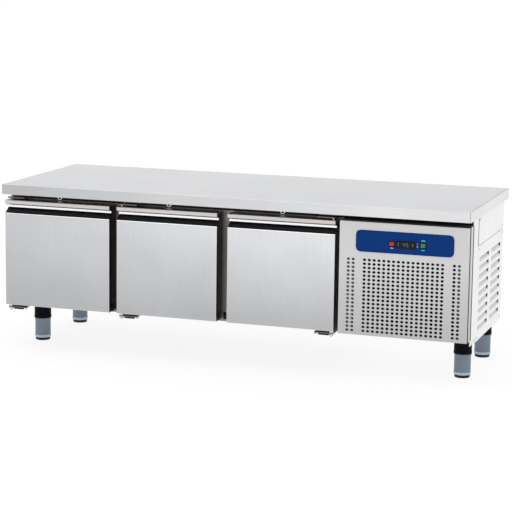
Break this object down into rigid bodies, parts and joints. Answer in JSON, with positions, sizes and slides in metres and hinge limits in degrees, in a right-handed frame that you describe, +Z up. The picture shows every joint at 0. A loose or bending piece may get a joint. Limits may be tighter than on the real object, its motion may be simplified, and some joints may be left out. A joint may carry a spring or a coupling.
{
  "type": "under counter refrigerator",
  "caption": "Low refrigerated counter with hinged doors under a steel worktop, a cooling unit behind a perforated panel at one end, and levelling feet.",
  "frame": {"origin": "on the floor, under the centre of the worktop", "axes": "+X along the counter from the door end to the cooling unit end, +Y from the doors to the back, +Z up"},
  "size_m": [1.72, 0.65, 0.61],
  "materials": {
    "stainless_brushed": "fine vertical grain, satin",
    "stainless_handle": "fine grain with bright folds",
    "worktop_steel": "fine lengthwise grain, satin",
    "cabinet_steel": "matt sheet",
    "panel_grey": "matt brushed sheet",
    "side_panel_grey": "smooth light grey",
    "board": "particle board",
    "foam": "rigid foam",
    "door_liner_plastic": "thermoformed sheet",
    "gasket_rubber": "matt",
    "chrome": "polished",
    "fascia_blue": "printed film on plastic",
    "controller_black": "fine texture",
    "controller_window": "smoked window",
    "key_grey": "soft key",
    "rocker_red": "translucent red",
    "rocker_green": "translucent green",
    "fitting_steel": "bright wire",
    "coil_aluminium": "plain fins",
    "fan_plastic": "moulded",
    "shroud_black": "black enamel",
    "copper": "drawn copper tube",
    "foot_grey": "moulded grey-blue",
    "collar_black": "fine texture"
  },
  "bodies": {
    "cabinet": {"bay_frame": "cabinet_steel", "cabinet_foam": "foam", "cabinet_shell": "cabinet_steel", "cable_gland": "controller_black", "compressor": "shroud_black", "compressor_mounts": "gasket_rubber", "condenser_coil": "coil_aluminium", "control_fascia": "fascia_blue", "controller_case": "controller_black", "controller_window": "controller_window", "evaporation_tray": "controller_black", "evaporator_coil": "coil_aluminium", "evaporator_cover": "coil_aluminium", "fan_motors": "shroud_black", "fan_shroud": "shroud_black", "foot_collars": "collar_black", "front_frame": "cabinet_steel", "grille_panel": "panel_grey", "hinge_brackets": "cabinet_steel", "hinge_pins": "fitting_steel", "inner_liner": "cabinet_steel", "lock_barrels": "chrome", "panel_screws": "chrome", "rear_grille": "side_panel_grey", "refrigerant_pipes": "copper", "right_side_panel": "side_panel_grey", "shelf_runners": "fitting_steel", "side_grille": "side_panel_grey", "switch_bezels": "controller_black", "wire_shelves": "fitting_steel", "worktop_core": "board", "worktop_skin": "worktop_steel"},
    "door_1": {"door_1_skin": "stainless_brushed", "door_1_foam": "foam", "door_1_liner": "door_liner_plastic", "door_1_gasket": "gasket_rubber", "door_1_handle": "stainless_handle"},
    "lock_plug_1": {"lock_plug_1": "chrome"},
    "door_2": {"door_2_skin": "stainless_brushed", "door_2_foam": "foam", "door_2_liner": "door_liner_plastic", "door_2_gasket": "gasket_rubber", "door_2_handle": "stainless_handle"},
    "lock_plug_2": {"lock_plug_2": "chrome"},
    "door_3": {"door_3_skin": "stainless_brushed", "door_3_foam": "foam", "door_3_liner": "door_liner_plastic", "door_3_gasket": "gasket_rubber", "door_3_handle": "stainless_handle"},
    "lock_plug_3": {"lock_plug_3": "chrome"},
    "power_rocker": {"power_rocker": "rocker_red"},
    "light_rocker": {"light_rocker": "rocker_green"},
    "condenser_fan": {"condenser_fan": "fan_plastic"},
    "evaporator_fan": {"evaporator_fan": "fan_plastic"},
    "key_left": {"key_left": "key_grey"},
    "key_right": {"key_right": "key_grey"},
    "foot_front_left": {"foot_front_left": "foot_grey"},
    "foot_front_right": {"foot_front_right": "foot_grey"},
    "foot_rear_left": {"foot_rear_left": "foot_grey"},
    "foot_rear_right": {"foot_rear_right": "foot_grey"}
  },
  "joints": [
    {"name": "door_1_hinge", "type": "hinge", "parent": "cabinet", "child": "door_1", "pos_m": [-0.843, -0.29, 0.359], "axis": [0, 0, -1], "range_deg": [0, 100], "stiffness_Nm_per_rad": 0.6},
    {"name": "lock_1_turn", "type": "hinge", "parent": "cabinet", "child": "lock_plug_1", "pos_m": [-0.6605, -0.248, 0.563], "axis": [0, 1, 0], "range_deg": [0, 90]},
    {"name": "door_2_hinge", "type": "hinge", "parent": "cabinet", "child": "door_2", "pos_m": [-0.405, -0.29, 0.359], "axis": [0, 0, -1], "range_deg": [0, 100], "stiffness_Nm_per_rad": 0.6},
    {"name": "lock_2_turn", "type": "hinge", "parent": "cabinet", "child": "lock_plug_2", "pos_m": [-0.238, -0.248, 0.563], "axis": [0, 1, 0], "range_deg": [0, 90]},
    {"name": "door_3_hinge", "type": "hinge", "parent": "cabinet", "child": "door_3", "pos_m": [0.377, -0.29, 0.359], "axis": [0, 0, 1], "range_deg": [0, 100], "stiffness_Nm_per_rad": 0.6},
    {"name": "lock_3_turn", "type": "hinge", "parent": "cabinet", "child": "lock_plug_3", "pos_m": [0.1845, -0.248, 0.563], "axis": [0, 1, 0], "range_deg": [0, 90]},
    {"name": "power_switch", "type": "hinge", "parent": "cabinet", "child": "power_rocker", "pos_m": [0.589, -0.31, 0.485], "axis": [1, 0, 0], "range_deg": [0, 14]},
    {"name": "light_switch", "type": "hinge", "parent": "cabinet", "child": "light_rocker", "pos_m": [0.697, -0.31, 0.485], "axis": [1, 0, 0], "range_deg": [0, 14]},
    {"name": "left_key_press", "type": "slide", "parent": "cabinet", "child": "key_left", "axis": [0, 1, 0], "range_m": [0, 0.0005], "stiffness_N_per_m": 400},
    {"name": "right_key_press", "type": "slide", "parent": "cabinet", "child": "key_right", "axis": [0, 1, 0], "range_m": [0, 0.0005], "stiffness_N_per_m": 400},
    {"name": "condenser_fan_spin", "type": "hinge", "parent": "cabinet", "child": "condenser_fan", "pos_m": [0.633, -0.16, 0.296], "axis": [0, 1, 0], "continuous": true},
    {"name": "evaporator_fan_spin", "type": "hinge", "parent": "cabinet", "child": "evaporator_fan", "pos_m": [0.294, 0.001, 0.436], "axis": [1, 0, 0], "continuous": true},
    {"name": "front_left_level", "type": "slide", "parent": "cabinet", "child": "foot_front_left", "axis": [0, 0, -1], "range_m": [0, 0.03]},
    {"name": "front_right_level", "type": "slide", "parent": "cabinet", "child": "foot_front_right", "axis": [0, 0, -1], "range_m": [0, 0.03]},
    {"name": "rear_left_level", "type": "slide", "parent": "cabinet", "child": "foot_rear_left", "axis": [0, 0, -1], "range_m": [0, 0.03]},
    {"name": "rear_right_level", "type": "slide", "parent": "cabinet", "child": "foot_rear_right", "axis": [0, 0, -1], "range_m": [0, 0.03]}
  ]
}
